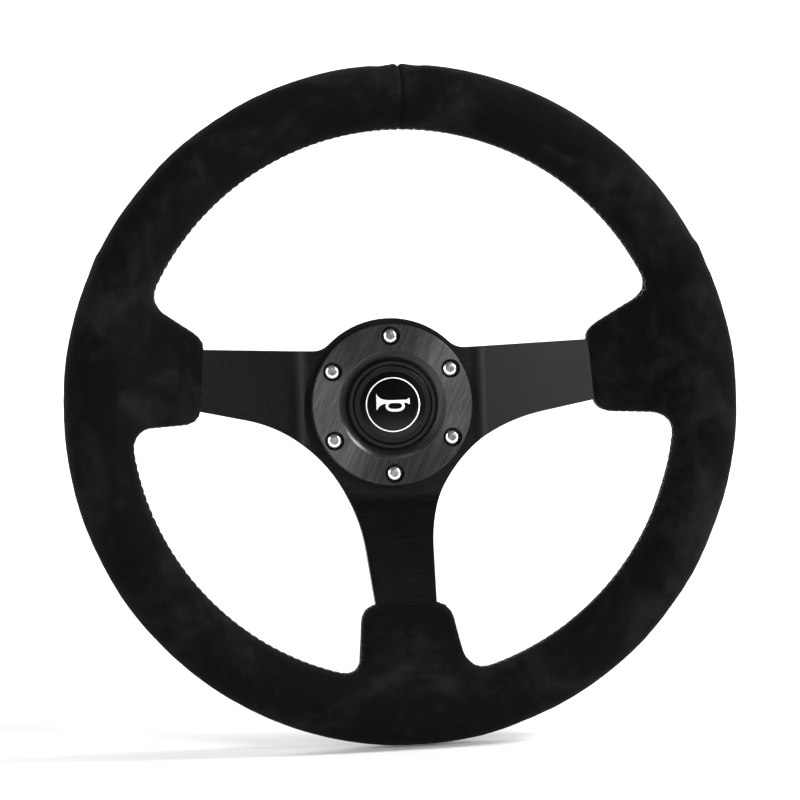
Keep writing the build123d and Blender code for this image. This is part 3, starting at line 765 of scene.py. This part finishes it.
class WHEEL_OT_mark(bpy.types.Operator):
    """Silver horn pictogram and line, laid on the horn push's lens"""
    bl_idname = "wheel.mark"
    bl_label = "Horn pictogram"

    def execute(self, context):
        s = settings("mark")
        lens_radius = DOME_HIGH.x
        sphere = (lens_radius ** 2 + LENS_RISE ** 2) / (2 * LENS_RISE)
        turn = np.linspace(0, 2 * pi, 97)
        ring = np.stack([np.cos(turn), np.sin(turn)], -1) * s.circle
        strips = [*horn_strips(s.size), (ring, np.full(len(ring), LINE_HALF))]
        verts, faces = [], []
        for line, half in strips:
            ahead = np.gradient(line, axis=0)
            if np.allclose(line[0], line[-1]):
                ahead[0] = ahead[-1] = line[1] - line[-2]
            ahead /= np.linalg.norm(ahead, axis=1, keepdims=True)
            side = np.stack([-ahead[:, 1], ahead[:, 0]], -1)
            base = len(verts)
            for point, across, wide in zip(line, side, half):
                for share, out in ((1, 0), (1, 1), (0, 1), (-1, 1), (-1, 0)):
                    x, z = point + across * wide * share
                    depth = DOME_LOW.y + sphere - sqrt(sphere ** 2 - x * x - z * z)
                    verts.append((x, depth + (-s.proud if out else s.proud), z))
            for i in range(len(line) - 1):
                for k in range(5):
                    a, b = base + 5 * i + k, base + 5 * i + (k + 1) % 5
                    faces.append((a, a + 5, b + 5, b))
            if not np.allclose(line[0], line[-1]):
                faces += [tuple(base + k for k in range(5)),
                          tuple(base + 5 * (len(line) - 1) + k for k in reversed(range(5)))]
        mark = new_object("horn_pictogram", verts, faces, smooth=False)
        dress(mark, polished_material("silver_print", (0.86, 0.87, 0.88), 0.4))
        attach(mark, "horn_push")
        return {"FINISHED"}


class WHEEL_OT_release(bpy.types.Operator):
    """Quick release: hub, collar, balls and base"""
    bl_idname = "wheel.release"
    bl_label = "Quick release"

    def execute(self, context):
        black = turned_material("turned_black", (0.03, 0.03, 0.032), 0.34, 0.85)
        for node in ("release_hub", "release_base"):
            dress_node(node, black)
        dress_node("lock_collar", turned_material("turned_collar", (0.62, 0.63, 0.65), 0.28))
        steel = polished_material("spring_steel", (0.45, 0.45, 0.47), 0.24)
        dress_node("retaining_ring", steel)
        ball = polished_material("ball_steel", (0.7, 0.7, 0.72), 0.08)
        for node in sorted(NODES):
            if node.startswith("lock_ball"):
                dress_node(node, ball)
        return {"FINISHED"}


# ------------------------------------------------------------------ springs
SPRINGS = (                                  # node, body at the front, body behind, wire, active turns
    ("horn_spring", "horn_push", "wheel", 0.9 * MM, 2.5),
    ("collar_spring", "wheel", "collar", 1.4 * MM, 2.2),
    ("pin_spring", "pin", "wheel", 0.5 * MM, 6.0))
CLOSED_TURNS = 0.85                          # at each end of a spring


class WHEEL_OT_springs(bpy.types.Operator):
    """Compression springs with closed ends"""
    bl_idname = "wheel.springs"
    bl_label = "Springs"

    def execute(self, context):
        steel = polished_material("spring_wire", (0.45, 0.45, 0.47), 0.24)
        for node, front_body, back_body, wire, active in SPRINGS:
            low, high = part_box(node)
            mean = high.x - wire / 2
            turns = active + 2 * CLOSED_TURNS
            share = np.linspace(0, turns, int(turns * 40))
            open_share = np.clip((share - CLOSED_TURNS) / active, 0, 1)
            lift = high.y - low.y - wire - 2 * CLOSED_TURNS * wire
            depth = low.y + wire / 2 + wire * np.minimum(share, CLOSED_TURNS) + lift * open_share
            depth += wire * np.clip(share - CLOSED_TURNS - active, 0, None)
            angle = 2 * pi * share
            points = np.stack([mean * np.cos(angle), depth, mean * np.sin(angle)], -1)
            outward = np.stack([np.cos(angle), np.zeros_like(angle), np.sin(angle)], -1)
            verts, faces = tube(points, outward, wire / 2, 8)
            spring = new_object("closed_" + node, verts, faces)
            dress(spring, steel)
            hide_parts(node)
            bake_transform(spring)
        return {"FINISHED"}


# ------------------------------------------------------------------ stage
def area_light(name, azimuth, elevation, distance, size, power, aim):
    """Soft rectangular light that faces the wheel."""
    light = bpy.data.lights.new(name, "AREA")
    light.shape = "RECTANGLE"
    light.size, light.size_y = size
    light.energy = power
    lamp = bpy.data.objects.new(name, light)
    a, e = radians(azimuth), radians(elevation)
    lamp.location = aim + distance * Vector((sin(a) * cos(e), -cos(a) * cos(e), sin(e)))
    lamp.rotation_euler = (aim - lamp.location).to_track_quat("-Z", "Y").to_euler()
    bpy.context.scene.collection.objects.link(lamp)
    return lamp


CAMERA_SHIFT = (-3.75 * MM, 2.4 * MM)        # to its right and up


def make_camera(aim):
    """Camera that looks at the middle of the rim."""
    s = settings("stage")
    a, e, r = s.azimuth, s.elevation, s.roll
    back = Vector((sin(a) * cos(e), -cos(a) * cos(e), sin(e)))
    right = Vector((0, 0, 1)).cross(back).normalized()
    up = back.cross(right)
    right, up = cos(r) * right + sin(r) * up, -sin(r) * right + cos(r) * up
    camera = bpy.data.objects.new("camera", bpy.data.cameras.new("camera"))
    camera.data.lens = s.lens
    camera.data.sensor_width = 36
    camera.data.clip_start = 0.01
    place = aim + back * s.distance + right * CAMERA_SHIFT[0] + up * CAMERA_SHIFT[1]
    camera.matrix_world = Matrix.Translation(place) @ Matrix((right, up, back)).transposed().to_4x4()
    bpy.context.scene.collection.objects.link(camera)
    bpy.context.scene.camera = camera


LIGHTS = (                                   # name, azimuth, elevation, distance, size, power
    ("key_left", -38, 10, 1.5, (0.36, 0.7), 17),
    ("strip_right", 34, 14, 1.5, (0.16, 0.6), 14),
    ("high_right", 76, 36, 1.5, (0.5, 0.5), 26),
    ("top_soft", -10, 80, 1.5, (1.0, 0.3), 4),
    ("edge_left", -145, 35, 1.6, (0.7, 0.7), 9),
    ("edge_right", 145, 35, 1.6, (0.7, 0.7), 9))


class WHEEL_OT_stage(bpy.types.Operator):
    """Pale floor that curves up to a lit wall, soft lights and the camera"""
    bl_idname = "wheel.stage"
    bl_label = "Stage"

    def execute(self, context):
        s = settings("stage")
        floor_level = CAD_BOX[0].z - 0.5 * MM
        flat, rise, around = 2.4, 3.2, 96           # metres, metres, sides
        profile = [(0.0, 0.0), (flat, 0.0)]
        profile += [(flat + rise * sin(t), rise * (1 - cos(t))) for t in np.linspace(0.05, pi / 2, 16)]
        verts = []
        for r, height in profile:
            for k in range(around):
                turn = 2 * pi * k / around
                wall = 0.5 + 0.5 * np.tanh(3 * sin(turn) + 1.2)   # high behind, low in front
                verts.append((r * cos(turn), r * sin(turn), floor_level + height * wall))
        faces = []
        for i in range(len(profile) - 1):
            for k in range(around):
                a, b = i * around + k, i * around + (k + 1) % around
                faces.append((a, b, b + around, a + around))
        floor = new_object("floor", verts, faces)
        n = Nodes("floor_paint")
        tone = n.mix(n.noise(3, 2, 0.5), tuple(c * 0.98 for c in s.floor), tuple(s.floor))
        behind = n.add("ShaderNodeSeparateXYZ", {"Vector": n.place}).outputs["Y"]
        glow = n.ramp(behind, 0.3, 2.4, 0.0, s.backdrop)
        dress(floor, n.finish({"Base Color": tone, "Emission Strength": glow}, roughness=0.75,
                              emission_color=(1, 1, 1, 1)))

        world = bpy.data.worlds.new("studio")
        world.use_nodes = True
        tree = world.node_tree
        seen = tree.nodes.new("ShaderNodeLightPath").outputs["Is Camera Ray"]
        level = tree.nodes.new("ShaderNodeMapRange")
        level.inputs["To Min"].default_value, level.inputs["To Max"].default_value = s.ambient, 0.95
        tree.links.new(seen, level.inputs["Value"])
        tree.links.new(level.outputs[0], tree.nodes["Background"].inputs["Strength"])
        tree.nodes["Background"].inputs["Color"].default_value = (1, 1, 1, 1)
        context.scene.world = world
        context.scene.view_settings.view_transform = "Standard"

        aim = Vector((0, RIM_PLANE, 0))
        for name, azimuth, elevation, distance, size, power in LIGHTS:
            area_light(name, azimuth, elevation, distance, size, power, aim)
        make_camera(aim)
        return {"FINISHED"}


# ------------------------------------------------------------------ panel and registration
STEPS = ("stage", "grip", "stitching", "spokes", "ring", "push", "mark", "release", "springs")


class VIEW3D_PT_wheel(bpy.types.Panel):
    """Lists the steps that dress the wheel"""
    bl_label = "Steering Wheel"
    bl_idname = "VIEW3D_PT_wheel"
    bl_space_type = "VIEW_3D"
    bl_region_type = "UI"
    bl_category = "Steering Wheel"

    def draw(self, context):
        for step in STEPS:
            self.layout.operator("wheel." + step)
        for kind in SETTINGS:
            group = settings(kind)
            box = self.layout.box()
            for key in group.__annotations__:
                box.prop(group, key)


SETTINGS = {"grip": GripSettings, "stitch": StitchSettings, "metal": MetalSettings, "mark": MarkSettings,
            "stage": StageSettings}
CLASSES = (*SETTINGS.values(), WHEEL_OT_grip, WHEEL_OT_stitching, WHEEL_OT_spokes, WHEEL_OT_ring,
           WHEEL_OT_push, WHEEL_OT_mark, WHEEL_OT_release, WHEEL_OT_springs, WHEEL_OT_stage, VIEW3D_PT_wheel)


def register():
    for each in CLASSES:
        bpy.utils.register_class(each)
    for kind, group in SETTINGS.items():
        setattr(bpy.types.Scene, "wheel_" + kind, PointerProperty(type=group))


def unregister():
    for kind in SETTINGS:
        delattr(bpy.types.Scene, "wheel_" + kind)
    for each in reversed(CLASSES):
        bpy.utils.unregister_class(each)


def main():
    register()
    for step in STEPS:
        getattr(bpy.ops.wheel, step)()


if __name__ == "__main__":
    main()
